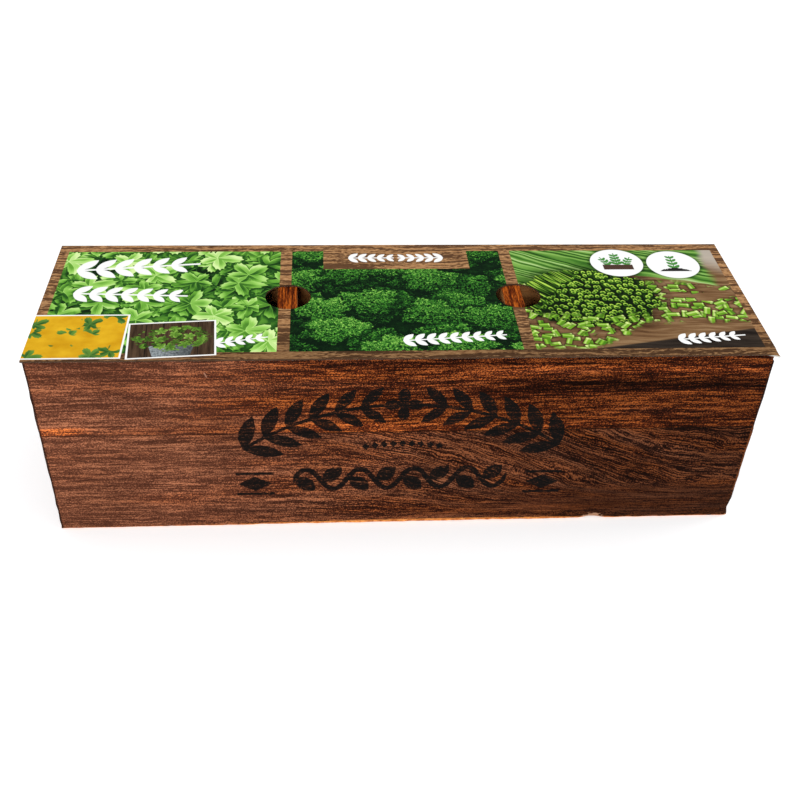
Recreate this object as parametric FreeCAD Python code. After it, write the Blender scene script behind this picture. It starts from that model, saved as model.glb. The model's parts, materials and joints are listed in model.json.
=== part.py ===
import FreeCAD, Part

import math
import os

# Indoor herb planter: a box of three cells, glued up from thin boards, with a liner, a pressed coir disc
# and a seed sachet in each cell, and a flat card lid with two finger holes over the dividers.
# Millimetres. +X runs along the box, the front faces -Y, +Z is up, and the origin is the middle of its foot.

# Box, over its outer faces
LENGTH = 350.0
DEPTH = 105.0
BOX_HEIGHT = 104.0
CELLS = ("left", "middle", "right")

# Boards
BOARD = 10.0
LOWER_BOARD_HEIGHT = 61.0
DIVIDER = 9.5
OUTER_ARRIS = 0.8
SEAM_ARRIS = 0.3

# Joinery
REBATE_DEPTH = 4.0
HOUSING_DEPTH = 3.0
GLUE_GAP = 0.1

# Bottom panel
BOTTOM = 6.0
BOTTOM_RISE = 4.0
PANEL_SLIP = 0.4

# Lid card
CARD = 0.8
CARD_OVERHANG = 0.5
CARD_GAP = 0.2
FINGER_HOLE_DIAMETER = 22.6
FINGER_HOLE_PITCH = 115.3
FINGER_HOLE_SHIFT_X = 1.45
FINGER_HOLE_SHIFT_Y = 0.8

# Liners
LINER_WALL = 0.8
LINER_HEIGHT = 56.0
LINER_CLEARANCE = 1.2
LINER_LIP_WIDTH = 3.6
LINER_LIP_DROP = 3.0
LINER_TAPER = 3.6
LINER_CORNER = 11.0
CORNER_FACETS = 6
LINER_FOOT = 2.5
LINER_BAND_HEIGHT = 12.0
LINER_STEP = 1.6
FLUTE_MOUTH = 5.6
FLUTE_CREST = 3.0
FLUTE_DEPTH = 2.0
FLUTE_PITCH = 12.0
RIDGE_WIDTH = 5.0
RIDGE_HEIGHT = 3.0
RIDGE_PITCH = 17.0
RIDGE_INSET = 8.0

# Pressed coir discs
DISC_CLEARANCE = 0.7
DISC_HEIGHT = 13.0
DISC_EDGE = 2.5
DISC_DIMPLE_DIAMETER = 34.0
DISC_DIMPLE_SLOPE = 5.0
DISC_DIMPLE_DEPTH = 1.2

# Seed sachets
SACHET_CLEARANCE = 5.0
SACHET_SEAL = 6.0
SACHET_PAPER = 0.6
SACHET_BULGE = 3.2
SACHET_SHOULDER_SHARE = 0.7
SHOULDER_FACETS = 5
SACHET_CORNER = 1.5
SACHET_TURNS = (8.0, -6.0, 4.0)
CONTENTS_GAP = 0.2

# How far a cutting tool runs past the piece that it cuts
OVERRUN = 2.0

# Worked out from the sizes above
HALF_LENGTH = LENGTH / 2
HALF_DEPTH = DEPTH / 2
INNER_LENGTH = LENGTH - 2 * BOARD
INNER_DEPTH = DEPTH - 2 * BOARD
CELL_LENGTH = (INNER_LENGTH - (len(CELLS) - 1) * DIVIDER) / len(CELLS)
CELL_PITCH = CELL_LENGTH + DIVIDER
PANEL_TOP = BOTTOM_RISE + BOTTOM
GROOVE_TOP = PANEL_TOP + GLUE_GAP
CARD_UNDERSIDE = BOX_HEIGHT + CARD_GAP
LINER_LENGTH = CELL_LENGTH - 2 * LINER_CLEARANCE
LINER_DEPTH = INNER_DEPTH - 2 * LINER_CLEARANCE
LINER_WALL_INSET = LINER_LIP_WIDTH + LINER_STEP
LINER_FOOT_INSET = LINER_WALL_INSET + LINER_TAPER + LINER_FOOT
TRAY_INSET = LINER_WALL_INSET + LINER_TAPER + LINER_WALL + FLUTE_DEPTH
TRAY_ROOM_LENGTH = LINER_LENGTH - 2 * TRAY_INSET
TRAY_ROOM_DEPTH = LINER_DEPTH - 2 * TRAY_INSET
DISC_DIAMETER = min(TRAY_ROOM_LENGTH, TRAY_ROOM_DEPTH) - 2 * DISC_CLEARANCE
SACHET_LENGTH = TRAY_ROOM_LENGTH - 2 * SACHET_CLEARANCE
SACHET_WIDTH = TRAY_ROOM_DEPTH - 2 * SACHET_CLEARANCE
SACHET_SHOULDER = SACHET_SHOULDER_SHARE * (SACHET_WIDTH / 2 - SACHET_SEAL)
DISC_BASE = PANEL_TOP + RIDGE_HEIGHT + LINER_WALL + CONTENTS_GAP
SACHET_BASE = DISC_BASE + DISC_HEIGHT + CONTENTS_GAP


def vec(x, y, z):
    return FreeCAD.Vector(x, y, z)


def block(x0, x1, y0, y1, z0, z1):
    """A box between two corners."""
    return Part.makeBox(x1 - x0, y1 - y0, z1 - z0, vec(x0, y0, z0))


def turned(shape, degrees):
    """A copy turned about the upright axis through the origin."""
    copy = shape.copy()
    copy.rotate(vec(0, 0, 0), vec(0, 0, 1), degrees)
    return copy


def moved(shape, x, y, z):
    copy = shape.copy()
    copy.translate(vec(x, y, z))
    return copy


def cell_x(index):
    """The middle of one cell along the box."""
    return (index - (len(CELLS) - 1) / 2) * CELL_PITCH


def divider_x(index):
    """The middle of one divider along the box."""
    return cell_x(index) + CELL_PITCH / 2


def outline(points):
    """A flat face inside straight lines through these points."""
    return Part.Face(Part.makePolygon(points + points[:1]))


def board_section(face, inner, low, high):
    """Section points of a wall board between two heights, with its outer arrises and any groove."""
    facing = 1 if inner > face else -1
    low_arris = SEAM_ARRIS if low else OUTER_ARRIS
    high_arris = OUTER_ARRIS if low else SEAM_ARRIS
    points = [(face, low + low_arris), (face + facing * low_arris, low), (inner, low)]
    if not low:
        floor = inner - facing * REBATE_DEPTH
        points += [(inner, BOTTOM_RISE), (floor, BOTTOM_RISE), (floor, GROOVE_TOP), (inner, GROOVE_TOP)]
    return points + [(inner, high), (face + facing * high_arris, high), (face, high - high_arris)]


def long_board(low, high):
    """One front board between two heights, rebated for the end boards and housed for the dividers."""
    face = -HALF_DEPTH
    inner = face + BOARD
    section = outline([vec(-HALF_LENGTH, y, z) for y, z in board_section(face, inner, low, high)])
    shoulder = HALF_LENGTH - BOARD
    half_plan = [(HALF_LENGTH - OUTER_ARRIS, face), (HALF_LENGTH, face + OUTER_ARRIS),
                 (HALF_LENGTH, inner - REBATE_DEPTH), (shoulder, inner - REBATE_DEPTH), (shoulder, inner)]
    points = half_plan + [(-x, y) for x, y in reversed(half_plan)]
    plan = outline([vec(x, y, low) for x, y in points])
    board = section.extrude(vec(LENGTH, 0, 0)).common(plan.extrude(vec(0, 0, high - low)))
    half_housing = DIVIDER / 2 + GLUE_GAP
    foot = low - OVERRUN if low else PANEL_TOP
    for index in range(len(CELLS) - 1):
        left = divider_x(index) - half_housing
        right = divider_x(index) + half_housing
        board = board.cut(block(left, right, inner - HOUSING_DEPTH, inner + OVERRUN, foot, high + OVERRUN))
    return board


def end_board(low, high):
    """One right end board between two heights. Its own ends are hidden in the rebates of the long boards."""
    half = HALF_DEPTH - BOARD + REBATE_DEPTH - GLUE_GAP
    points = board_section(HALF_LENGTH, HALF_LENGTH - BOARD + GLUE_GAP, low, high)
    return outline([vec(x, -half, z) for x, z in points]).extrude(vec(0, 2 * half, 0))


def divider(index):
    """One divider, standing on the bottom panel with its ends in the housings."""
    half = HALF_DEPTH - BOARD + HOUSING_DEPTH - GLUE_GAP
    middle = divider_x(index)
    return block(middle - DIVIDER / 2, middle + DIVIDER / 2, -half, half, PANEL_TOP, BOX_HEIGHT)


def bottom_panel():
    """The panel that slides into the groove on all four sides."""
    reach = REBATE_DEPTH - PANEL_SLIP
    half_x = HALF_LENGTH - BOARD + reach
    half_y = HALF_DEPTH - BOARD + reach
    return block(-half_x, half_x, -half_y, half_y, BOTTOM_RISE, PANEL_TOP)


def lid_card():
    """The flat card, with a round finger hole near each divider."""
    half_x = HALF_LENGTH + CARD_OVERHANG
    half_y = HALF_DEPTH + CARD_OVERHANG
    card = block(-half_x, half_x, -half_y, half_y, CARD_UNDERSIDE, CARD_UNDERSIDE + CARD)
    for side in (-1, 1):
        hole_x = FINGER_HOLE_SHIFT_X + side * FINGER_HOLE_PITCH / 2
        place = vec(hole_x, FINGER_HOLE_SHIFT_Y, CARD_UNDERSIDE - OVERRUN)
        card = card.cut(Part.makeCylinder(FINGER_HOLE_DIAMETER / 2, CARD + 2 * OVERRUN, place))
    return card


def copies(room, pitch):
    """How many places a pitch apart fit in this room."""
    return max(0, int(room / pitch)) + 1


def centred(count, pitch):
    """Places a pitch apart, centred on zero."""
    return [(index - (count - 1) / 2) * pitch for index in range(count)]


def quarter_turned(out, along, quarter, z):
    """A point given by its distance out and along a wall, turned to that wall by quarter turns."""
    x, y = ((out, along), (-along, out), (-out, -along), (along, -out))[quarter]
    return vec(x, y, z)


def flute_points(run, reach, inset):
    """Distances along and out for the sloped-sided flutes of one wall, widened by the wall on the inside."""
    slope = math.atan2(FLUTE_DEPTH, (FLUTE_MOUTH - FLUTE_CREST) / 2)
    widening = inset * math.tan(slope / 2)
    mouth = FLUTE_MOUTH / 2 + widening
    crest = FLUTE_CREST / 2 + widening
    room = run - 2 * (LINER_FOOT_INSET + LINER_CORNER + LINER_WALL) - FLUTE_MOUTH
    points = []
    for middle in centred(copies(room, FLUTE_PITCH), FLUTE_PITCH):
        points += [(middle - mouth, reach), (middle - crest, reach - FLUTE_DEPTH),
                   (middle + crest, reach - FLUTE_DEPTH), (middle + mouth, reach)]
    return points


def rounded_points(length, width, corner, z, fluted_inset=None):
    """Points round a rectangle with rounded corners, and with flutes in its walls where an inset is given."""
    points = []
    for quarter in range(4):
        reach, half_run = (width / 2, length / 2) if quarter % 2 else (length / 2, width / 2)
        spots = []
        if fluted_inset is not None:
            run = LINER_LENGTH if quarter % 2 else LINER_DEPTH
            spots = flute_points(run, reach, fluted_inset)
        for step in range(CORNER_FACETS + 1):
            swing = math.radians(90 * step / CORNER_FACETS)
            along = half_run - corner + corner * math.sin(swing)
            spots.append((along, reach - corner + corner * math.cos(swing)))
        points += [quarter_turned(out, along, quarter, z) for along, out in spots]
    return points


def prism(length, width, corner, low, high):
    return outline(rounded_points(length, width, corner, low)).extrude(vec(0, 0, high - low))


def stacked(sections):
    """A solid whose flat sides join sections of like points, one above the other."""
    faces = [outline(sections[0]), outline(sections[-1])]
    for lower, upper in zip(sections, sections[1:]):
        for index, point in enumerate(lower):
            faces.append(outline([lower[index - 1], point, upper[index], upper[index - 1]]))
    return Part.Solid(Part.Shell(faces))


def tray_section(draw_in, inset, z):
    """The fluted outline of the tray at one height, drawn in by the draft and inset by the wall."""
    total_inset = LINER_WALL_INSET + draw_in + inset
    length = LINER_LENGTH - 2 * total_inset
    depth = LINER_DEPTH - 2 * total_inset
    return rounded_points(length, depth, LINER_CORNER - inset, z, inset)


def ridges(inset):
    """Low bars pressed up into the floor, which keep the roots out of standing water."""
    half_y = LINER_DEPTH / 2 - LINER_FOOT_INSET - RIDGE_INSET + inset
    half_x = RIDGE_WIDTH / 2 + inset
    count = copies(LINER_LENGTH - 2 * (LINER_FOOT_INSET + RIDGE_INSET) - RIDGE_WIDTH, RIDGE_PITCH)
    bars = []
    for middle in centred(count, RIDGE_PITCH):
        bars.append(block(middle - half_x, middle + half_x, -half_y, half_y, -OVERRUN, RIDGE_HEIGHT + inset))
    return bars


def tray_form(inset):
    """The tray's outside, or its inside when inset by the wall: a fluted, drafted body under a wider band."""
    shoulder = LINER_HEIGHT - LINER_BAND_HEIGHT + inset
    sections = [tray_section(LINER_TAPER + LINER_FOOT, inset, inset),
                tray_section(LINER_TAPER, inset, LINER_FOOT + inset),
                tray_section(0, inset, shoulder)]
    body = stacked(sections)
    band_length = LINER_LENGTH - 2 * LINER_LIP_WIDTH - 2 * inset
    band_depth = LINER_DEPTH - 2 * LINER_LIP_WIDTH - 2 * inset
    rise = LINER_HEIGHT + (OVERRUN if inset else 0)
    band = prism(band_length, band_depth, LINER_CORNER + LINER_STEP - inset, shoulder, rise)
    return body.fuse(band).cut(ridges(inset))


def liner():
    """A thermoformed tray of one wall thickness: drafted, fluted and ridged, with a turned-down lip."""
    lip_low = LINER_HEIGHT - LINER_LIP_DROP
    lip_corner = LINER_CORNER + LINER_STEP + LINER_LIP_WIDTH
    lip = prism(LINER_LENGTH, LINER_DEPTH, lip_corner, lip_low, LINER_HEIGHT)
    under = prism(LINER_LENGTH - 2 * LINER_WALL, LINER_DEPTH - 2 * LINER_WALL, lip_corner - LINER_WALL,
                  lip_low - OVERRUN, LINER_HEIGHT - LINER_WALL)
    return tray_form(0).fuse(lip.cut(under)).cut(tray_form(LINER_WALL))


def coir_disc():
    """A pressed disc with eased edges and a shallow dimple from the press, turned from half its section."""
    radius = DISC_DIAMETER / 2
    rim = DISC_DIMPLE_DIAMETER / 2
    dimple_floor = DISC_HEIGHT - DISC_DIMPLE_DEPTH
    half_section = [(0, 0), (radius - DISC_EDGE, 0),
                    (radius, DISC_EDGE), (radius, DISC_HEIGHT - DISC_EDGE),
                    (radius - DISC_EDGE, DISC_HEIGHT), (rim, DISC_HEIGHT),
                    (rim - DISC_DIMPLE_SLOPE, dimple_floor), (0, dimple_floor)]
    section = outline([vec(out, 0, up) for out, up in half_section])
    return section.revolve(vec(0, 0, 0), vec(0, 0, 1), 360)


def seed_sachet():
    """A flat paper sachet: a sealed margin all round and a low filled pillow inside it."""
    sections = [rounded_points(SACHET_LENGTH, SACHET_WIDTH, SACHET_CORNER, 0),
                rounded_points(SACHET_LENGTH, SACHET_WIDTH, SACHET_CORNER, SACHET_PAPER)]
    for step in range(SHOULDER_FACETS + 1):
        climb = math.radians(90 * step / SHOULDER_FACETS)
        inset = SACHET_SEAL + SACHET_SHOULDER * (1 - math.cos(climb))
        length = SACHET_LENGTH - 2 * inset
        width = SACHET_WIDTH - 2 * inset
        height = SACHET_PAPER + SACHET_BULGE * math.sin(climb)
        sections.append(rounded_points(length, width, SACHET_CORNER, height))
    return stacked(sections)


def build():
    """Every piece by its name, at its place in the planter."""
    pieces = {}
    for level, low, high in (("upper", LOWER_BOARD_HEIGHT, BOX_HEIGHT), ("lower", 0, LOWER_BOARD_HEIGHT)):
        front = long_board(low, high)
        right = end_board(low, high)
        pieces["front_" + level + "_board"] = front
        pieces["back_" + level + "_board"] = turned(front, 180)
        pieces["right_end_" + level + "_board"] = right
        pieces["left_end_" + level + "_board"] = turned(right, 180)
    for index, side in enumerate(("left", "right")):
        pieces[side + "_divider"] = divider(index)
    pieces["bottom_panel"] = bottom_panel()
    pieces["lid_card"] = lid_card()
    tray = liner()
    disc = coir_disc()
    sachet = seed_sachet()
    for index, name in enumerate(CELLS):
        middle = cell_x(index)
        pieces[name + "_liner"] = moved(tray, middle, 0, PANEL_TOP)
        pieces[name + "_coir_disc"] = moved(disc, middle, 0, DISC_BASE)
        pieces[name + "_seed_sachet"] = moved(turned(sachet, SACHET_TURNS[index]), middle, 0, SACHET_BASE)
    return pieces


os.makedirs("parts", exist_ok=True)
for name, shape in build().items():
    shape.exportStep("parts/" + name + ".step")
    print(name, len(shape.Solids), shape.isValid(), round(shape.Volume))
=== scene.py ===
import json
import math
import random

import bmesh
import bpy
from mathutils import Matrix, Vector


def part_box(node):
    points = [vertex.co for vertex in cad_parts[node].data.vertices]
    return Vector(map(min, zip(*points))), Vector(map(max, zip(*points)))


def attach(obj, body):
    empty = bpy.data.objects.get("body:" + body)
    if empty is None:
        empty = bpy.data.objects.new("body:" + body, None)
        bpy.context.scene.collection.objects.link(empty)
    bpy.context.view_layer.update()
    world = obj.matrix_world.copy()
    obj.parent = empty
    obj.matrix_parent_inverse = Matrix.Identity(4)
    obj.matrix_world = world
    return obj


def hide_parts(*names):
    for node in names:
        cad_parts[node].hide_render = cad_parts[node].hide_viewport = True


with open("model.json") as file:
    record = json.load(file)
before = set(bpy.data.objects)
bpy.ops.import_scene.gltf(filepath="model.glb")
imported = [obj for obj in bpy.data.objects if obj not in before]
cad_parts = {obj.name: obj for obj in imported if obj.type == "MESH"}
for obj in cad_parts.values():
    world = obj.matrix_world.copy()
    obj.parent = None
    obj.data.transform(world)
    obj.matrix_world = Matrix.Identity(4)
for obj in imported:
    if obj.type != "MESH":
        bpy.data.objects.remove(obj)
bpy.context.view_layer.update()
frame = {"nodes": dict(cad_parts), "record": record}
random.seed(7)

# The camera, fitted to the corners of the box in the photograph
CAMERA_PLACE = (-0.03774, -0.45158, 0.38153)
CAMERA_TURN = (49.772, -1.804, -3.594)
CAMERA_LENS = 47.32
CAMERA_SHIFT = 0.075

camera_data = bpy.data.cameras.new("camera")
camera_data.lens = CAMERA_LENS
camera_data.sensor_width = 36.0
camera_data.shift_y = CAMERA_SHIFT
camera_data.clip_start = 0.01
camera_data.clip_end = 50.0
camera = bpy.data.objects.new("camera", camera_data)
camera.location = CAMERA_PLACE
camera.rotation_euler = [math.radians(turn) for turn in CAMERA_TURN]
bpy.context.scene.collection.objects.link(camera)
bpy.context.scene.camera = camera
bpy.context.scene.view_settings.view_transform = "Standard"

TURN = 2 * math.pi
CELLS = ("left", "middle", "right")


def node_span(node, axis):
    """The lowest and highest place of a CAD node along X, Y or Z, in millimetres."""
    low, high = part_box(node)
    return low["XYZ".index(axis)] * 1000.0, high["XYZ".index(axis)] * 1000.0


# Sizes of the planter that the finishes and pieces follow, in millimetres
HALF_LENGTH = node_span("front_upper_board", "X")[1]
HALF_DEPTH = -node_span("front_upper_board", "Y")[0]
SEAM, BOX_TOP = node_span("front_upper_board", "Z")
BOARD = HALF_DEPTH + node_span("front_upper_board", "Y")[1]
CARD_HALF_LENGTH = node_span("lid_card", "X")[1]
CARD_HALF_DEPTH = node_span("lid_card", "Y")[1]
CARD_UNDERSIDE = node_span("lid_card", "Z")[0]
CELL_PITCH = sum(node_span("right_liner", "X")) / 2
DISC_BASE = node_span("left_coir_disc", "Z")[0]
SACHET_BASE = node_span("left_seed_sachet", "Z")[0]
SACHET_HALF_LENGTH = 34.03
SACHET_HALF_WIDTH = 24.7
SACHET_SEAL = 6.0
SACHET_TURNS = (8.0, -6.0, 4.0)


def worked_out(operation):
    """A method of Value that adds the math node of this operation."""
    return lambda self, *others: calculate(self.tree, operation, self, *others)


class Value:
    """A number or colour worked out by shader nodes. Arithmetic on it adds the nodes that work it out."""

    def __init__(self, tree, socket):
        self.tree = tree
        self.socket = socket

    def __rsub__(self, other):
        return calculate(self.tree, "SUBTRACT", other, self)

    __add__ = __radd__ = worked_out("ADD")
    __sub__ = worked_out("SUBTRACT")
    __mul__ = __rmul__ = worked_out("MULTIPLY")
    __truediv__ = worked_out("DIVIDE")
    sin = worked_out("SINE")
    cos = worked_out("COSINE")
    arctan2 = worked_out("ARCTAN2")
    size = worked_out("ABSOLUTE")
    floor = worked_out("FLOOR")
    maximum = worked_out("MAXIMUM")
    power = worked_out("POWER")
    root = worked_out("SQRT")


def feed(tree, socket, value):
    """Links a Value to a socket, or sets the socket to a plain number, vector or colour."""
    if isinstance(value, Value):
        tree.links.new(value.socket, socket)
    elif socket.type == "RGBA":
        socket.default_value = (*value, 1.0)
    else:
        socket.default_value = value


def add_node(tree, kind, inputs, **settings):
    """A node with its settings, and with its inputs fed by number or by name."""
    node = tree.nodes.new("ShaderNode" + kind)
    for name, value in settings.items():
        setattr(node, name, value)
    for key, value in inputs.items():
        feed(tree, node.inputs[key], value)
    return node


def work_out(tree, kind, inputs, output=0, **settings):
    """One output of a new node."""
    return Value(tree, add_node(tree, kind, inputs, **settings).outputs[output])


def tree_of(values):
    return next(value for value in values if isinstance(value, Value)).tree


def calculate(tree, operation, *values):
    return work_out(tree, "Math", dict(enumerate(values)), operation=operation)


def mapped(value, low, high, start, end, kind):
    inputs = dict(enumerate((value, low, high, start, end)))
    return work_out(value.tree, "MapRange", inputs, interpolation_type=kind)


def smooth(value, low, high):
    """0 below low, 1 above high and a smooth step between."""
    return mapped(value, low, high, 0.0, 1.0, "SMOOTHSTEP")


def below(value, low, high):
    """1 below low, 0 above high and a smooth step between."""
    return 1 - smooth(value, low, high)


def smooth_line(value, start, end):
    """From start to end as value goes from 0 to 1, and no further."""
    return mapped(value, 0.0, 1.0, start, end, "LINEAR")


def within(value, low, high, edge):
    """1 between low and high, with soft edges."""
    return smooth(value, low - edge, low + edge) * below(value, high - edge, high + edge)


def rectangle(u, v, left, right, front, back, edge):
    return within(u, left, right, edge) * within(v, front, back, edge)


def hypotenuse(x, y):
    return (x * x + y * y).root()


def turned(x, y, angle):
    """A place turned back about the origin by an angle in radians."""
    if isinstance(angle, Value):
        cosine, sine = angle.cos(), angle.sin()
    else:
        cosine, sine = math.cos(angle), math.sin(angle)
    return x * cosine + y * sine, y * cosine - x * sine


def turned_place(u, v, centre_u, centre_v, degrees):
    """Distances along and across a line through a point, turned from the U axis."""
    return turned(u - centre_u, v - centre_v, math.radians(degrees))


def vector(*sizes):
    return work_out(tree_of(sizes), "CombineXYZ", dict(enumerate(sizes)))


def split(value):
    return [Value(value.tree, output) for output in add_node(value.tree, "SeparateXYZ", {0: value}).outputs]


def noise(x, y, z, detail, roughness=0.5, distortion=0.0):
    place = vector(x, y, z)
    inputs = {"Vector": place, "Scale": 1.0, "Detail": detail, "Roughness": roughness,
              "Distortion": distortion}
    return work_out(place.tree, "TexNoise", inputs)


def scattered(across, up, spread):
    """How far the nearest point of a scatter is, the way from it, and two random numbers of its own."""
    tree = across.tree
    inputs = {"Vector": vector(across, up, 0.0), "Scale": 1.0, "Randomness": spread}
    node = add_node(tree, "TexVoronoi", inputs, voronoi_dimensions="2D")
    distance, point, chance = [Value(tree, node.outputs[name]) for name in ("Distance", "Position", "Color")]
    point_x, point_y, _ = split(point)
    first, second, _ = split(chance)
    return distance, across - point_x, up - point_y, first, second


def blend(share, first, second):
    """The first colour where share is 0, and the second where it is 1."""
    return work_out(share.tree, "Mix", {0: share, 6: first, 7: second}, 2, data_type="RGBA")


def tinted(colour, amount):
    """A colour made darker or lighter by a factor."""
    return work_out(colour.tree, "VectorMath", {0: colour, "Scale": amount}, operation="SCALE")


def ramp(value, *stops):
    node = add_node(value.tree, "ValToRGB", {0: value})
    elements = node.color_ramp.elements
    while len(elements) < len(stops):
        elements.new(0.5)
    for element, (place, colour) in zip(elements, stops):
        element.position = place
        element.color = (*colour, 1.0)
    return Value(value.tree, node.outputs[0])


def shader_group(inputs, outputs):
    """Builds a shared node group from a function, and returns what puts the group into a material."""
    inputs, outputs = inputs.split(), outputs.split()

    def decorate(build):
        tree = bpy.data.node_groups.new(build.__name__, "ShaderNodeTree")
        for item in inputs:
            tree.interface.new_socket(name=item, in_out="INPUT", socket_type="NodeSocketFloat")
        for item in outputs:
            kind = "NodeSocketColor" if item == "Color" else "NodeSocketFloat"
            tree.interface.new_socket(name=item, in_out="OUTPUT", socket_type=kind)
        source = tree.nodes.new("NodeGroupInput")
        sink = tree.nodes.new("NodeGroupOutput")
        made = build(*[Value(tree, source.outputs[item]) for item in inputs])
        for item, value in zip(outputs, made if isinstance(made, tuple) else [made]):
            feed(tree, sink.inputs[item], value)

        def place(*values):
            target = tree_of(values)
            node = add_node(target, "Group", dict(zip(inputs, values)), node_tree=tree)
            results = [Value(target, node.outputs[item]) for item in outputs]
            return results if len(results) > 1 else results[0]

        return place

    return decorate


def new_material(name):
    """A material, its shader node, and the place on the object in millimetres."""
    material = bpy.data.materials.new(name)
    material.use_nodes = True
    tree = material.node_tree
    tree.nodes.clear()
    shader = tree.nodes.new("ShaderNodeBsdfPrincipled")
    add_node(tree, "OutputMaterial", {"Surface": Value(tree, shader.outputs[0])})
    place = [each * 1000.0 for each in split(work_out(tree, "TexCoord", {}, "Object"))]
    return material, shader, place


def finish_shader(shader, colour, roughness, specular, height=None, depth=0.0, strength=1.0):
    """Feeds a shader's colour, roughness and specular level, and a bump of that depth in metres."""
    tree = shader.id_data
    for name, value in (("Base Color", colour), ("Roughness", roughness), ("Specular IOR Level", specular)):
        feed(tree, shader.inputs[name], value)
    if height is not None:
        bump = work_out(tree, "Bump", {"Distance": depth, "Strength": strength, "Height": height})
        feed(tree, shader.inputs["Normal"], bump)


# Wood


@shader_group("Along Across Through Figure Glow Shade", "Color Height Roughness")
def scorched_grain(along, across, through, figure, glow, shade):
    """Scorched, brushed softwood. Figure makes the grain wavy, Glow reddens it, Shade is its lightness."""
    drift = noise(along * 0.006, across * 0.02, through * 0.02, 2.0) - 0.5
    sway = noise(along * 0.022, across * 0.05, through * 0.03, 2.0) - 0.5
    ripple = noise(along * 0.11, across * 0.15, through * 0.1, 1.0) - 0.5
    line = across + drift * 6.0 + figure * (sway * 12.0 + ripple * 2.4)
    band = noise(along * 0.005, line * 0.11, through * 0.11, 2.0)
    streak = noise(along * 0.020, line * 0.50, through * 0.50, 3.0, 0.6)
    fine = noise(along * 0.075, line * 1.10, through * 1.10, 2.0, 0.6)
    grit = noise(along * 1.35, line * 1.9, through * 1.9, 1.0, 0.7)
    broken = noise(along * 0.20, line * 0.8, through * 0.8, 1.0)
    wave = (line * (TURN / 1.45) + ripple * 7.0 + streak * 9.0).sin() * figure * smooth(broken, 0.36, 0.60)
    tone = band * 0.10 + streak * 0.21 + fine * 0.33 + grit * 0.36 + wave * 0.062
    level = smooth(tone, figure * 0.022 + 0.399, 0.613 - figure * 0.022)
    plain = ramp(level, (0.0, (0.020, 0.007, 0.004)), (0.3, (0.062, 0.020, 0.010)),
                 (0.62, (0.142, 0.049, 0.0255)), (1.0, (0.370, 0.142, 0.068)))
    lit = ramp(level, (0.0, (0.010, 0.003, 0.0015)), (0.3, (0.036, 0.006, 0.002)),
               (0.62, (0.104, 0.021, 0.0055)), (1.0, (0.440, 0.112, 0.022)))
    patchy = noise(along * 0.014, line * 0.10, through * 0.05, 3.0) - 0.5
    colour = blend(smooth(glow + patchy * 1.4, 0.0, 1.0), plain, lit)
    pores = smooth(noise(along * 0.24, line * 1.5, through * 1.5, 2.0, 0.7), 0.585, 0.65)
    colour = blend(pores * 0.7, colour, (0.012, 0.005, 0.003))
    colour = tinted(colour, shade)
    height = streak * 0.30 + fine * 0.40 + grit * 0.30 - pores * 0.25
    return colour, height, smooth_line(level, 0.80, 0.66)


@shader_group("Along Across Through", "Color Height")
def bare_grain(along, across, through):
    """The same softwood where it is left unscorched, with darker lines along the grain."""
    sway = noise(along * 0.02, across * 0.06, through * 0.06, 2.0) - 0.5
    line = across + sway * 7.0
    growth = noise(along * 0.006, line * 0.42, through * 0.42, 3.0, 0.6)
    fine = noise(along * 0.14, line * 2.2, through * 2.2, 3.0, 0.65)
    level = growth * 0.65 + fine * 0.35
    colour = ramp(level, (0.32, (0.370, 0.140, 0.042)), (0.48, (0.590, 0.250, 0.082)),
                  (0.68, (0.740, 0.370, 0.140)))
    return colour, level


@shader_group("S T Length Pitch Leaf Width", "Mask")
def sprig(s, t, length, pitch, leaf, width):
    """Paired almond leaves along a straight stem. S runs along it from its foot and T across it."""
    side = t.size()
    lean = math.radians(42)
    taper = 1 - (s / length) * 0.28
    reach = leaf * taper
    mask = below(side, width * 0.12, width * 0.12 + 0.12) * within(s, 0.0, length, 0.1)
    for step in (0, 1, 2):
        base = ((s / pitch).floor() - step) * pitch
        ahead = s - base
        a, b = turned(ahead, side, lean)
        share = a / reach
        margin = width * taper * 2.0 * share * (1 - share) - b.size()
        inside = within(base, -0.01, length - leaf * 0.5, 0.005)
        mask = mask.maximum(smooth(margin, -0.06, 0.08) * inside)
    return mask


# The stamp on the front, in millimetres from the middle of the front and from the foot
ARCH_MIDDLE = -1.0
ARCH_CENTRE = -52.0
ARCH_RADIUS = 129.5
ARCH_SPREAD = 84.0
ARCH_BEADS = 24.0
BEAD_PITCH = 5.6
SCROLL_MIDDLE = -1.5
SCROLL_HEIGHT = 31.0
SCROLL_SWING = 6.4
SCROLL_LEAF = 13.5
SCROLL_LEAVES = 8
SCROLL_LEAN = 44.0
SCROLL_LEAF_REACH = 13.4
RULES = ((-74.5, 22.0, 35.4), (71.5, 20.4, 33.8))
RULE_HALF = 9.4

# The flake and the scratch on the front, in the same millimetres
FLAKE_MIDDLE = 101.6
SCRATCH = (-93.5, 96.0)
SCRATCH_TURN = -70.0


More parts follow.
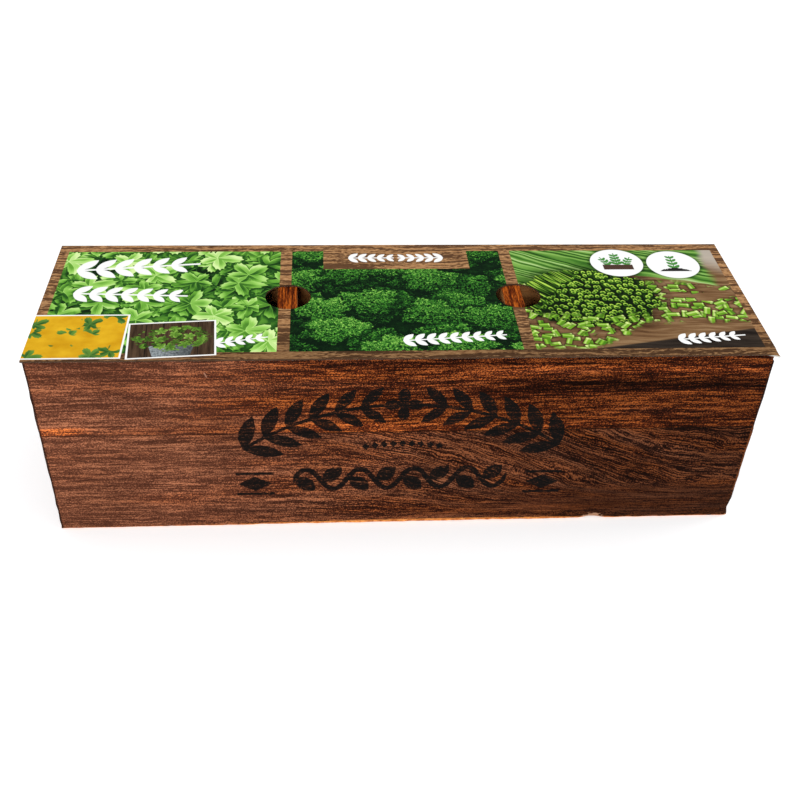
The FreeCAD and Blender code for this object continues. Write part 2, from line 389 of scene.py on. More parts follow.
@shader_group("X Z", "Mask")
def front_stamp(x, z):
    """An arched garland with a rosette, over lozenges and a leafy scroll, with rules at both sides."""
    out = x - ARCH_MIDDLE
    up = z - ARCH_CENTRE
    radius = hypotenuse(out, up)
    along = out.arctan2(up) * ARCH_RADIUS
    off = radius - ARCH_RADIUS
    run = ARCH_SPREAD - along.size()
    mask = sprig(run, off, ARCH_SPREAD - 8.5, 12.6, 22.0, 7.6)
    reach = hypotenuse(along, off)
    petals = (off.arctan2(along) * 2.0).cos().size() * 7.2 + 2.2
    mask = mask.maximum(smooth(petals - reach, -0.1, 0.2))
    cell = along / BEAD_PITCH + 0.5
    bead = (cell - cell.floor() - 0.5) * BEAD_PITCH
    lozenge = below(bead.size() + (off + ARCH_BEADS).size(), 2.1, 2.4)
    mask = mask.maximum(lozenge * within(along, -BEAD_PITCH * 4.5, BEAD_PITCH * 4.5, 0.05))
    turns = (x - SCROLL_MIDDLE) / SCROLL_LEAF
    rise = z - SCROLL_HEIGHT
    swing = (turns * math.pi).sin() * SCROLL_SWING
    slope = (turns * math.pi).cos() * (SCROLL_SWING * math.pi / SCROLL_LEAF)
    stem = (rise - swing).size() / (slope * slope + 1.0).root() + 0.5
    side = (turns.floor() * math.pi).cos()
    ahead = (turns - turns.floor() - 0.10) * SCROLL_LEAF
    a, b = turned(ahead, 1.6 - rise * side, math.radians(SCROLL_LEAN))
    share = a / SCROLL_LEAF_REACH
    leaf = smooth(share * (1 - share) * 16.5 - b.size(), -0.1, 0.15)
    scroll = below(stem, 1.8, 2.1).maximum(leaf)
    half_run = SCROLL_LEAF * SCROLL_LEAVES / 2
    mask = mask.maximum(scroll * within(x, SCROLL_MIDDLE - half_run, SCROLL_MIDDLE + half_run, 0.1))
    for centre, low, high in RULES:
        for height in (low, high):
            rule = rectangle(x, z, centre - RULE_HALF, centre + RULE_HALF, height - 0.8, height + 0.8, 0.1)
            mask = mask.maximum(rule)
        diamond = below((x - centre).size() * 0.55 + (z - (low + high) / 2).size(), 4.6, 4.9)
        mask = mask.maximum(diamond)
    return mask


def scorched_board(name, along_axis, seed, stamped=False):
    """The finish of the outer boards, with grain along X or along Y."""
    material, shader, (x, y, z) = new_material(name)
    along, through = (y, x) if along_axis == "Y" else (x, y)
    upper = smooth(z, SEAM - 0.05, SEAM + 0.05)
    wander = noise(x * 0.03 + seed, y * 0.03, z * 0.07, 2.0) - 0.5
    rightward = smooth(x + wander * 60.0, -170.0, 150.0)
    middle = smooth(x + wander * 60.0, -150.0, -10.0)
    fall = smooth(x, -45.0, 175.0) * 68.0 * (1 - upper) * smooth(z, 0.0, 26.0)
    figure = (1 - upper) * smooth(x + wander * 40.0, -90.0, 30.0) * 0.90 + 0.08
    ember = within(z + wander * 3.0, SEAM + 0.3, SEAM + 5.2, 1.3)
    ember = ember * (within(x, -190.0, -155.0, 8.0) + within(x, -55.0, 88.0, 18.0) + 0.2)
    bright = within(z + wander * 7.0, 94.5, 99.0, 2.0) * smooth(x, 0.0, 70.0)
    dull = within(z + wander * 7.0, 84.5, 90.5, 2.0) * smooth(x, 20.0, 90.0)
    # Painted light: the outer boards are painted lighter at the left end and darker towards the right, as the
    # light falls across the front, and the lower board fades further. Random patches are mixed in.
    painted_light_falloff = smooth_line(rightward, 1.24, 0.62) * upper + smooth_line(rightward, 1.30, 0.36) * (1 - upper)
    patch = noise(x * 0.020 + seed, y * 0.020, z * 0.024 + 4.0, 2.0)
    painted_light_falloff = painted_light_falloff * smooth_line(patch, 1.62, 0.42)
    # Painted shade: a band of the boards just under the card's overhang is darkened as the card's shade.
    painted_shade_under_card = smooth(z + wander * 5.0, 96.0, 101.0) * within(x, -40.0, 80.0, 20.0)
    shade = painted_light_falloff * (1 + bright * 0.8 + ember * 0.6 - dull * 0.55 - painted_shade_under_card * 0.24)
    glow = upper * (middle * 0.80 + 0.14) + (1 - upper) * (middle * 0.46 + 0.04) + ember * 0.6
    across = z + upper * 37.0 + fall + seed * 13.0
    colour, height, roughness = scorched_grain(along + seed * 91.0, across, through, figure, glow, shade)
    colour = blend((1 - middle) * 0.28, colour, (0.162, 0.052, 0.026))
    rub = noise(x * 0.5, y * 0.5, z * 0.9, 3.0)
    # The foot is painted bright orange, widest in the middle. This is bare wood where the foot is worn,
    # painted brighter as a highlight where the rounded edge catches the light.
    foot_top = smooth_line(within(x, -60.0, 85.0, 60.0), 0.9, 2.3)
    foot = below(z + (rub - 0.5) * 2.0 - foot_top, -0.3, 0.4)
    colour = blend(foot * 0.95, colour, ramp(rub, (0.35, (0.42, 0.110, 0.024)), (0.62, (0.90, 0.36, 0.100))))
    seam = within(z, SEAM - 0.32, SEAM + 0.05, 0.12)
    colour = blend(seam * 0.7, colour, (0.012, 0.006, 0.004))
    # Painted shade: the upright outer arrises are painted dark, as rounded edges turned away from the light.
    # On the right-hand arris, between about 18 and 62 mm up, a tan colour is mixed in.
    corner = HALF_LENGTH + HALF_DEPTH
    painted_shade_arris = smooth(x.size() + y.size() + (rub - 0.5) * 1.4, corner - 1.5, corner - 1.1)
    worn_arris = smooth(x, 0.0, 1.0) * within(z + (rub - 0.5) * 30.0, 18.0, 62.0, 3.0)
    colour = blend(painted_shade_arris * 0.85, colour, blend(worn_arris * 0.6, (0.016, 0.007, 0.005), (0.24, 0.070, 0.018)))
    bare, _ = bare_grain(along + seed * 50.0, z, through)
    inside = below(x.size(), HALF_LENGTH - BOARD + 0.15, HALF_LENGTH - BOARD + 0.4)
    inside = inside * below(y.size(), HALF_DEPTH - BOARD + 0.15, HALF_DEPTH - BOARD + 0.4)
    colour = blend(inside, colour, tinted(bare, 0.85))
    if stamped:
        away_x = x - FLAKE_MIDDLE
        chip = below((away_x * away_x * 0.5 + z * z).root() + (rub - 0.5) * 7.0, 3.2, 3.8)
        colour = blend(chip * 0.85, colour, (0.50, 0.27, 0.16))
        scratch_x, scratch_z = turned_place(x, z, *SCRATCH, SCRATCH_TURN)
        scratch = within(scratch_x, -1.4, 1.4, 0.5) * below(scratch_z.size(), 0.15, 0.45)
        colour = blend(scratch * 0.6, colour, (0.46, 0.24, 0.16))
        worn = noise(x * 0.5, y, z * 1.6, 4.0, 0.7)
        mask = front_stamp(x + (rub - 0.5) * 1.3, z + (worn - 0.5) * 1.4)
        ink = mask * (1 - smooth(worn * 0.6 + height * 0.4, 0.52, 0.64) * 0.45)
        front = below(y, 0.3 - HALF_DEPTH, 0.6 - HALF_DEPTH)
        colour = blend(ink * front * 0.97, colour, (0.0040, 0.0042, 0.0040))
    finish_shader(shader, colour, roughness, 0.03, height, 0.0005, 0.6)
    return material


front_wood = scorched_board("scorched_wood_front", "X", 0.0, stamped=True)
back_wood = scorched_board("scorched_wood_back", "X", 5.3)
end_wood = scorched_board("scorched_wood_ends", "Y", 2.1)


def inner_wood():
    """Dividers with bare sides and a scorched top edge, streaked along it."""
    material, shader, (x, y, z) = new_material("inner_wood")
    streak = noise(y * 0.035, x * 0.75, 5.0, 2.0, 0.6)
    fine = noise(y * 0.22, x * 1.9, 6.0, 2.0, 0.7)
    dark = ramp(streak * 0.5 + fine * 0.5, (0.40, (0.028, 0.004, 0.001)), (0.50, (0.155, 0.026, 0.003)),
                (0.60, (0.520, 0.120, 0.012)))
    bare, bare_height = bare_grain(y, z, x)
    top = smooth(z, BOX_TOP - 0.35, BOX_TOP - 0.1)
    finish_shader(shader, blend(top, bare, dark), 0.75, 0.03, bare_height, 0.0004, 0.6)
    return material


def bottom_wood():
    material, shader, (x, y, z) = new_material("bottom_wood")
    colour, height = bare_grain(x + 200.0, y, z)
    finish_shader(shader, tinted(colour, 0.9), 0.75, 0.15, height, 0.0004, 0.6)
    return material


# The print on the card, in millimetres from its left end and its front edge
FIELD_FRONT = 5.8
FIELD_BACK = 99.2
FIELDS = {"left": (5.0, 114.8), "middle": (120.7, 230.2), "right": (236.2, 346.3)}
STRIP_MIDDLES = (117.75, 233.2)
PRINT_EDGE = 0.12
WHITE_INK = (0.95, 0.95, 0.93)
GREEN_INK = (0.07, 0.26, 0.05)


@shader_group("U V", "Color")
def printed_wood(u, v):
    """Mid-brown plank with wavy dark lines along its length, darker towards the front."""
    sway = noise(u * 0.030, v * 0.05, 0.0, 2.0) - 0.5
    line = v + sway * 8.0
    bands = noise(u * 0.010, line * 0.15, 1.0, 2.0)
    fine = noise(u * 0.022, line * 0.50, 2.0, 2.0, 0.55)
    grain = noise(u * 0.30, line * 0.95, 3.0, 2.0, 0.7)
    dark = smooth(fine * 0.64 + bands * 0.08 + grain * 0.28, 0.472, 0.520)
    ground = ramp(grain, (0.35, (0.520, 0.290, 0.130)), (0.50, (0.400, 0.205, 0.086)),
                  (0.65, (0.260, 0.122, 0.048)))
    colour = blend(dark * 0.84, ground, (0.062, 0.026, 0.012))
    return tinted(colour, smooth_line(smooth(v, 3.0, 40.0), 0.60, 1.0))


@shader_group("U V Size Seed", "Mask Shade Shadow")
def leaf_layer(u, v, size, seed):
    """Scattered lobed leaves of one size, each turned its own way."""
    _, away_x, away_y, tint, spin = scattered(u / size + seed * 7.31, v / size + seed * 3.77, 0.8)
    a, b = turned(away_x, away_y, spin * TURN)
    reach = hypotenuse(a, b)
    bearing = b.arctan2(a)
    lobe = (bearing * 2.5).cos().size().power(0.9)
    teeth = (bearing * 15.0).sin().size()
    rim = lobe * 0.40 * (bearing.cos() * 0.22 + 0.82) + 0.18 - teeth * 0.055 * lobe
    share = reach / rim
    fold = (bearing * 2.5).sin()
    rib = below(fold.size() * reach, 0.0, 0.030) * (1 - share * 0.5)
    side = smooth(fold * (bearing * 1.25 + spin * 9.0).sin(), -0.25, 0.25)
    tip = smooth(share, 0.45, 0.95)
    shade = tint * 0.30 + side * 0.24 + rib * 0.22 + tip * 0.20 + 0.02
    return below(share, 0.95, 1.01), shade, below(share, 0.9, 1.45)


@shader_group("U V", "Color")
def broad_foliage(u, v):
    """Bright lobed leaves lying over each other."""
    haze = noise(u * 0.05, v * 0.05, 5.0, 2.0)
    level = noise(u * 0.12, v * 0.2, 1.0, 3.0) * 0.40 + haze * 0.1
    for size, seed, lift in ((27.0, 1.0, -0.14), (24.0, 2.0, -0.05), (22.0, 3.0, 0.05), (25.0, 4.0, 0.14)):
        mask, shade, shadow = leaf_layer(u + (haze - 0.5) * 9.0, v, size, seed)
        level = level * (1 - shadow * 0.72)
        level = level + mask * (shade + lift + (haze - 0.5) * 0.5 - level)
    return ramp(level, (0.0, (0.004, 0.018, 0.004)), (0.16, (0.024, 0.110, 0.013)),
                (0.35, (0.135, 0.375, 0.038)), (0.54, (0.340, 0.660, 0.125)), (0.76, (0.70, 0.90, 0.38)))


@shader_group("U V Size Seed", "Mask Shade Shadow")
def frilled_clump(u, v, size, seed):
    """Rounded clumps with a ragged rim, lighter at the far side, full of small curls."""
    _, away_x, away_y, tint, spin = scattered(u / size + seed * 5.17, v / size * 1.25 + seed * 8.29, 0.85)
    reach = hypotenuse(away_x, away_y)
    bearing = away_y.arctan2(away_x) + spin * TURN
    frill = noise(u * 0.42 + seed, v * 0.42, 1.0, 3.0, 0.75) - 0.5
    rim = 0.44 + (bearing * 3.0).cos() * 0.06 + (bearing * 7.0).cos() * 0.05 + frill * 0.36
    share = reach / rim
    curl = noise(u * 0.36 + seed, v * 0.40, 2.0, 3.0, 0.6, 1.1) - 0.5
    ridge = below(curl.size(), 0.0, 0.085)
    crumb = noise(u * 0.95, v * 0.80, 3.0, 2.0, 0.6, 0.8) - 0.5
    shade = 0.01 + tint * 0.14 + away_y * 0.34 + ridge * 0.46 + crumb * 1.60 + frill * 0.36
    return below(share, 0.92, 1.0), shade, below(share, 0.9, 1.5)


@shader_group("U V", "Color")
def frilled_foliage(u, v):
    """Deep green clumps of frilled leaflets over each other, with dark gaps between them."""
    level = (noise(u * 0.5, v * 0.5, 4.0, 3.0, 0.7) - 0.32) * 0.5
    for size, seed, lift in ((36.0, 1.0, -0.10), (31.0, 2.0, 0.0), (33.0, 3.0, 0.08)):
        mask, shade, shadow = frilled_clump(u, v, size, seed)
        level = level * (1 - shadow * 0.75)
        level = level + mask * (shade + lift - level)
    return ramp(level, (0.0, (0.0015, 0.008, 0.003)), (0.18, (0.007, 0.040, 0.007)),
                (0.40, (0.024, 0.145, 0.015)), (0.64, (0.090, 0.340, 0.034)), (0.95, (0.42, 0.72, 0.14)))


@shader_group("U V Size Seed", "Mask Shade Shadow")
def cut_stems(u, v, size, seed):
    """Short cut pieces of stem, scattered and turned at random."""
    _, away_x, away_y, tint, spin = scattered(u / size + seed * 5.13, v / size + seed * 9.41, 0.7)
    a, b = turned(away_x, away_y, spin * (TURN / 2.6) - 0.5)
    long_side = a.size() - (tint * 0.15 + 0.24)
    short_side = b.size() - 0.175
    edge = long_side.maximum(short_side)
    shine = below((b - 0.06).size(), 0.0, 0.12)
    tip = smooth(a, 0.19, 0.23)
    shade = tint * 0.26 + shine * 0.30 + tip * 0.24 + 0.20
    return below(edge, -0.012, 0.012), shade, below(edge, 0.0, 0.17)


@shader_group("U V", "Color")
def board_and_stems(u, v):
    """Long blades over a wooden board, a heap of cut stem ends, and cut pieces scattered in front."""
    sway = noise(u * 0.03, v * 0.04, 2.0, 2.0) - 0.5
    grain = noise(u * 0.03, v * 0.30 + sway * 2.0, 0.0, 5.0, 0.6)
    colour = ramp(grain, (0.34, (0.090, 0.040, 0.016)), (0.5, (0.200, 0.105, 0.045)),
                  (0.66, (0.34, 0.210, 0.105)))
    back_light = smooth(u * 0.5 + v * 0.9, 118.0, 136.0)
    colour = blend(back_light * 0.8, colour, (0.56, 0.50, 0.42))
    slate = smooth(u * 0.20 - v, -1.0, 0.5)
    colour = blend(slate, colour, ramp(grain, (0.35, (0.012, 0.008, 0.006)), (0.7, (0.050, 0.036, 0.026))))
    fall = v + u * 0.62 - u * u * 0.0021 + sway * 10.0
    strand = fall / 4.0 + noise(u * 0.010, fall * 0.10, 6.0, 1.0) * 3.4
    inside = strand - strand.floor()
    row = noise(strand.floor() * 3.7, u * 0.02, 7.0, 1.0)
    blade_level = row * 0.9 + (1 - (inside - 0.4).size() * 2.0) * 0.55 - 0.30
    blades = ramp(blade_level, (0.05, (0.010, 0.038, 0.006)), (0.32, (0.060, 0.200, 0.022)),
                  (0.6, (0.235, 0.460, 0.085)), (0.95, (0.66, 0.82, 0.42)))
    lowest = smooth(u, 25.0, 62.0) * 40.0 + 63.0
    bundle = smooth(fall, lowest, lowest + 1.5) * below(u + sway * 20.0, 100.0, 107.0)
    colour = blend(bundle, colour, blades)
    bump = noise(u * 0.10, v * 0.14, 8.0, 3.0, 0.7) - 0.5
    off_u = (u - 34.0) / 38.0
    off_v = (v - 52.0) / 28.0
    mound_reach = hypotenuse(off_u, off_v) + bump * 0.5
    mound = below(mound_reach, 0.93, 0.97)
    ring, _, above, spark, _ = scattered(u / 3.1 + bump, v / 3.6 - bump, 0.85)
    rim = within(ring, 0.19, 0.42, 0.06) * (0.50 + above * 0.9)
    ends = rim + below(ring, 0.30, 0.50) * 0.17 + spark * 0.28 - 0.18
    stalks = noise(u * 0.62 + v * 0.50, u * 0.02 - v * 0.03, 3.0, 2.0, 0.7)
    lying = smooth(off_v * 0.6 - off_u * 1.0 + bump * 0.9, 0.46, 0.60)
    mound_level = ends + lying * ((stalks - 0.5) * 5.0 + 0.24 - ends) + off_v * 0.08 + bump * 0.30
    heap = ramp(mound_level, (0.0, (0.004, 0.012, 0.002)), (0.26, (0.028, 0.095, 0.007)),
                (0.52, (0.130, 0.310, 0.020)), (0.9, (0.52, 0.76, 0.10)))
    colour = tinted(colour, 1 - below(mound_reach, 0.9, 1.25) * 0.65)
    colour = blend(mound, colour, heap)
    nearness = below(v + bump * 14.0, 34.0, 80.0)
    spread = noise(u * 0.055, v * 0.07, 4.0, 1.0) * 1.2 + nearness * 0.36 - 0.12
    bare_depth = smooth(u, 28.0, 62.0) * 22.0 + 5.0
    front = below(v, 62.0, 70.0) * smooth(v + bump * 16.0, bare_depth, bare_depth + 4.0)
    for size, seed, least in ((8.6, 1.0, 0.58), (7.6, 2.0, 0.64), (9.0, 3.0, 0.70)):
        mask, shade, shadow = cut_stems(u, v, size, seed)
        here = smooth(spread, least, least + 0.03) * front * (1 - slate) * (1 - mound * smooth(v, 34.0, 38.0))
        colour = tinted(colour, 1 - shadow * here * 0.6)
        piece = ramp(shade, (0.15, (0.045, 0.170, 0.008)), (0.48, (0.230, 0.490, 0.030)),
                     (0.9, (0.80, 0.93, 0.34)))
        colour = blend(mask * here, colour, piece)
    return colour


def printed(name, paint):
    """A material whose colour is painted over the place on the card, from its left end and its front edge."""
    material, shader, (x, y, z) = new_material(name)
    colour = paint(x + CARD_HALF_LENGTH, y + CARD_HALF_DEPTH)
    sheen = noise(x * 0.9, y * 0.9, z, 2.0)
    finish_shader(shader, colour, smooth_line(sheen, 0.48, 0.60), 0.02, sheen, 0.00004, 0.3)
    return material


def framed(colour, u, v, half_u, half_v, picture):
    """A picture with a thin white border, centred on the given axes."""
    for border, fill in ((0.9, WHITE_INK), (0.0, picture)):
        far_u, far_v = half_u + border, half_v + border
        colour = blend(rectangle(u, v, -far_u, far_u, -far_v, far_v, PRINT_EDGE), colour, fill)
    return colour


def field(cell, u, v, picture):
    """One of the three printed fields, on the printed wood."""
    area = rectangle(u, v, *FIELDS[cell], FIELD_FRONT, FIELD_BACK, PRINT_EDGE)
    return blend(area, printed_wood(u, v), picture)


def with_sprigs(colour, u, v, sprigs):
    for centre_u, centre_v, degrees, length, pitch, leaf, width, ink in sprigs:
        along, across = turned_place(u, v, centre_u, centre_v, degrees)
        colour = blend(sprig(along, across, length, pitch, leaf, width), colour, ink)
    return colour


@shader_group("U V", "Color")
def ochre_picture(u, v):
    """A warm yellow ground with a few green leaves scattered on it."""
    cloud = noise(u * 0.1, v * 0.12, 2.0, 3.0)
    ochre = ramp(cloud, (0.3, (0.60, 0.30, 0.006)), (0.7, (0.80, 0.47, 0.018)))
    mask, shade, _ = leaf_layer(u + 3.0, v + 2.0, 13.0, 6.0)
    sparse = smooth(noise(u * 0.09, v * 0.09, 9.0, 1.0), 0.50, 0.52)
    return blend(mask * sparse, ochre, ramp(shade, (0.1, (0.03, 0.11, 0.02)), (0.9, (0.22, 0.42, 0.06))))


@shader_group("U V", "Color")
def plank_picture(u, v):
    """Dark upright planks behind a tuft of bright small leaves in a stone pot."""
    gap = below((((u / 8.0) - (u / 8.0).floor()) - 0.5).size(), 0.02, 0.05)
    grain = noise(u * 0.7, v * 0.05, 0.0, 4.0, 0.6)
    plank = ramp(grain, (0.35, (0.028, 0.016, 0.009)), (0.7, (0.105, 0.062, 0.034)))
    plank = blend(gap * 0.8, plank, (0.008, 0.006, 0.005))
    ragged = noise(u * 0.2, v * 0.2, 2.0, 3.0) - 0.5
    pot_side = u.size() - 8.5 - (v + 14.0) * 0.22
    pot = below(pot_side, -0.15, 0.15) * below(v, -5.2, -4.9)
    stone = noise(u * 0.9, v * 0.9, 4.0, 3.0, 0.7)
    stone = tinted(ramp(stone, (0.35, (0.065, 0.080, 0.085)), (0.65, (0.300, 0.330, 0.340))),
                   smooth_line(smooth(u, -9.0, 9.0), 1.35, 0.45))
    plank = blend(pot, plank, stone)
    off_u = u / 19.0
    off_v = (v - 1.0) / 11.0
    tuft = below(hypotenuse(off_u, off_v) + ragged * 0.8, 0.84, 0.98)
    mask, shade, _ = leaf_layer(u, v, 6.5, 8.0)
    under, under_shade, _ = leaf_layer(u + 3.0, v + 1.0, 5.5, 9.0)
    leaves = ((0.1, (0.035, 0.10, 0.012)), (0.55, (0.15, 0.32, 0.035)), (0.9, (0.48, 0.66, 0.16)))
    plank = blend(tuft * under, plank, tinted(ramp(under_shade, *leaves), 0.5))
    return blend(tuft * mask, plank, ramp(shade, *leaves))


def left_print(u, v):
    colour = field("left", u, v, broad_foliage(u, v))
    colour = framed(colour, u - 20.5, v - 20.0, 23.0, 17.6, ochre_picture(u, v))
    plank_u, plank_v = turned_place(u, v, 66.0, 17.0, 4.0)
    colour = framed(colour, plank_u, plank_v, 19.6, 14.0, plank_picture(plank_u, plank_v))
    return with_sprigs(colour, u, v, ((12.0, 80.0, 6.0, 62.0, 9.4, 15.0, 5.8, WHITE_INK),
                                      (14.0, 58.0, -3.0, 56.0, 7.8, 11.5, 4.8, WHITE_INK),
                                      (86.0, 13.0, 12.0, 25.0, 4.8, 6.8, 2.9, WHITE_INK)))


def middle_print(u, v):
    colour = field("middle", u, v, frilled_foliage(u, v))
    plate = rectangle(u, v, 137.0, 213.0, 80.5, 104.0, PRINT_EDGE)
    colour = blend(plate, colour, printed_wood(u + 60.0, v + 31.0))
    return with_sprigs(colour, u, v, ((174.0, 14.0, 5.0, 50.0, 5.6, 7.8, 3.4, WHITE_INK),
                                      (150.0, 92.0, 0.0, 24.0, 5.0, 7.4, 3.1, WHITE_INK),
                                      (200.0, 92.0, 180.0, 24.0, 5.0, 7.4, 3.1, WHITE_INK)))


def right_print(u, v):
    colour = field("right", u, v, tinted(board_and_stems(u - FIELDS["right"][0], v), 0.96))
    radius = 14.0
    for centre_u, centre_v in ((292.0, 86.0), (322.0, 84.0)):
        away = hypotenuse(u - centre_u, v - centre_v)
        colour = tinted(colour, 1 - below(away, radius, radius + 2.4) * 0.5)
        colour = blend(below(away, radius - PRINT_EDGE, radius + PRINT_EDGE), colour, WHITE_INK)
    colour = with_sprigs(colour, u, v, ((306.0, 13.0, 6.0, 34.0, 5.2, 7.2, 3.2, WHITE_INK),
                                        (292.0, 84.0, 90.0, 12.0, 2.8, 5.0, 2.4, GREEN_INK),
                                        (288.0, 84.0, 118.0, 9.0, 2.6, 4.2, 2.0, GREEN_INK),
                                        (296.0, 84.0, 62.0, 9.0, 2.6, 4.2, 2.0, GREEN_INK),
                                        (322.0, 80.0, 90.0, 13.0, 3.4, 5.2, 2.4, GREEN_INK)))
    colour = blend(rectangle(u, v, 284.0, 300.0, 79.0, 84.0, PRINT_EDGE), colour, (0.075, 0.040, 0.028))
    off_u = (u - 322.0) / 9.0
    crumbs = noise(u * 0.8, v * 0.8, 2.0, 2.0) - 0.5
    mound = below(v - 77.0 + off_u * off_u * 3.6 + crumbs * 3.0, 3.2, 3.6)
    mound = mound * rectangle(u, v, 313.5, 330.5, 77.0, 100.0, PRINT_EDGE)
    return blend(mound, colour, (0.018, 0.016, 0.016))


def card_edge():
    """The cut edge and the unprinted underside of the card."""
    material, shader, (x, y, z) = new_material("card_edge")
    board = noise(x * 0.5, y * 0.5, z * 6.0, 3.0)
    colour = ramp(board, (0.3, (0.040, 0.020, 0.010)), (0.7, (0.085, 0.044, 0.023)))
    pulp = noise(x * 0.6, y * 0.6, 1.0, 4.0, 0.7)
    under = below(z, CARD_UNDERSIDE + 0.005, CARD_UNDERSIDE + 0.010)
    colour = blend(under, colour, ramp(pulp, (0.3, (0.50, 0.47, 0.42)), (0.7, (0.62, 0.60, 0.55))))
    finish_shader(shader, colour, 0.85, 0.1)
    return material


def clear_plastic():
    material, shader, (x, y, z) = new_material("clear_plastic")
    haze = noise(x * 0.1, y * 0.1, z * 0.1, 2.0)
    finish_shader(shader, ramp(haze, (0.3, (0.80, 0.83, 0.82)), (0.7, (0.88, 0.90, 0.89))), 0.16, 0.6)
    shader.inputs["Alpha"].default_value = 0.32
    return material


def pressed_coir():
    material, shader, (x, y, z) = new_material("pressed_coir")
    fibre = noise(x * 0.5, y * 0.5, z * 1.6, 4.0, 0.7, 1.2)
    crumbs = noise(x * 2.2, y * 2.2, z * 2.2, 3.0, 0.7)
    level = fibre * 0.55 + crumbs * 0.45
    colour = ramp(level, (0.32, (0.035, 0.017, 0.008)), (0.5, (0.115, 0.058, 0.026)),
                  (0.68, (0.26, 0.15, 0.075)))
    finish_shader(shader, colour, 0.95, 0.5, level, 0.0012, 0.9)
    return material


def sachet_paper(cell, centre_x, degrees):
    """Kraft paper with crimped ends, a plain band and a printed sprig."""
    material, shader, (x, y, z) = new_material(cell + "_sachet_paper")
    s, t = turned_place(x, y, centre_x, 0.0, degrees)
    fibre = noise(x * 0.35, y * 0.35, z, 4.0, 0.7)
    speck = smooth(noise(x * 1.6, y * 1.6, z, 2.0), 0.62, 0.70)
    colour = ramp(fibre, (0.3, (0.40, 0.27, 0.15)), (0.7, (0.54, 0.39, 0.23)))
    colour = blend(speck * 0.4, colour, (0.20, 0.12, 0.05))
    top = smooth(z, SACHET_BASE + 0.5, SACHET_BASE + 0.8)
    band = within(s, -20.0, -14.5, 0.1) * top
    colour = blend(band * 0.9, colour, (0.055, 0.150, 0.040))
    colour = blend(sprig(s + 10.0, t, 30.0, 5.6, 8.6, 3.6) * top * 0.9, colour, (0.055, 0.150, 0.040))
    ends = smooth(s.size(), SACHET_HALF_LENGTH - SACHET_SEAL, SACHET_HALF_LENGTH - SACHET_SEAL + 0.3)
    crimp_and_ridge_shade = (s * (TURN / 1.1)).sin() * ends
    wrinkle = noise(s * 0.12, t * 0.10, 2.0, 3.0, 0.6)
    height = crimp_and_ridge_shade * 0.25 + wrinkle + fibre * 0.12
    # Painted light and shade: the crimped ends are painted lighter and darker ridge by ridge, following their
    # bump.
    finish_shader(shader, tinted(colour, 1 + crimp_and_ridge_shade * 0.10), 0.78, 0.25, height, 0.0008, 0.7)
    return material


card_board = card_edge()
finishes = {
    "scorched_wood": front_wood,
    "inner_wood": inner_wood(),
    "bottom_wood": bottom_wood(),
    "printed_card": card_board,
    "clear_plastic": clear_plastic(),
    "pressed_coir": pressed_coir(),
    "sachet_paper": card_board,
}
slots = {part["node"]: part["material_slot"] for part in frame["record"]["subparts"]}


def node_finish(name):
    if name.startswith("back_"):
        return back_wood
    return end_wood if "_end_" in name else finishes[slots[name]]


for name, node in frame["nodes"].items():
    node.data.materials.clear()
    node.data.materials.append(node_finish(name))

# Modelled pieces, in metres


def millimetres(*sizes):
    return [size / 1000.0 for size in sizes]


def in_edit_mode(item):
    bpy.ops.object.select_all(action="DESELECT")
    item.select_set(True)
    bpy.context.view_layer.objects.active = item
    bpy.ops.object.mode_set(mode="EDIT")
    return item


def new_primitive(add, **settings):
    """A mesh from one of Blender's primitives, placed and in edit mode."""
    bpy.ops.object.select_all(action="DESELECT")
    add(**settings)
    bpy.ops.object.transform_apply(location=True, rotation=True, scale=True)
    return in_edit_mode(bpy.context.object)


def select_everything():
    bpy.ops.mesh.select_all(action="SELECT")


def roughen(offset, normal, seed):
    """Moves the selected vertices at random, by up to an offset in metres."""
    bpy.ops.transform.vertex_random(offset=offset, uniform=0.0, normal=normal, seed=seed)


def inset_rings(rings):
    """Insets the selected face ring by ring, in millimetres, and turns every face outwards."""
    for thickness, depth in rings:
        bpy.ops.mesh.inset(thickness=thickness / 1000.0, depth=depth / 1000.0)
    select_everything()
    bpy.ops.mesh.normals_make_consistent(inside=False)


def edit_copy(name, node):
    """A copy of a CAD node, merged by distance and selected in edit mode."""
    item = bpy.data.objects.new(name, frame["nodes"][node].data.copy())
    bpy.context.scene.collection.objects.link(item)
    in_edit_mode(item)
    select_everything()
    bpy.ops.mesh.remove_doubles(threshold=1e-6)
    bpy.ops.mesh.dissolve_limited(angle_limit=math.radians(0.5))
    return item


def pick(item, test):
    """Selects the vertices that the test finds, in edit mode."""
    bpy.ops.mesh.select_mode(type="VERT")
    bpy.ops.mesh.select_all(action="DESELECT")
    for corner in bmesh.from_edit_mesh(item.data).verts:
        corner.select_set(bool(test(corner.co)))
    bmesh.update_edit_mesh(item.data)


def cut_across(normal, places):
    """Bisects the whole mesh in edit mode at these distances along a direction."""
    direction = Vector(normal).normalized()
    for place in places:
        select_everything()
        bpy.ops.mesh.bisect(plane_co=direction * place, plane_no=direction)


def nudge(item, test, *shift):
    """Moves the vertices that the test finds, by a shift in millimetres."""
    pick(item, test)
    bpy.ops.transform.translate(value=millimetres(*shift))


def finish_piece(item, body, slot, *materials):
    """Back to object mode, with its materials and its body. The slot is not used."""
    if item.mode == "EDIT":
        bpy.ops.object.mode_set(mode="OBJECT")
    item.data.materials.clear()
    for material in materials:
        item.data.materials.append(material)
    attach(item, body)


def smoothed(degrees):
    """Back to object mode, with smooth shading across faces that meet at less than this angle."""
    bpy.ops.object.mode_set(mode="OBJECT")
    bpy.ops.object.shade_smooth_by_angle(angle=math.radians(degrees))


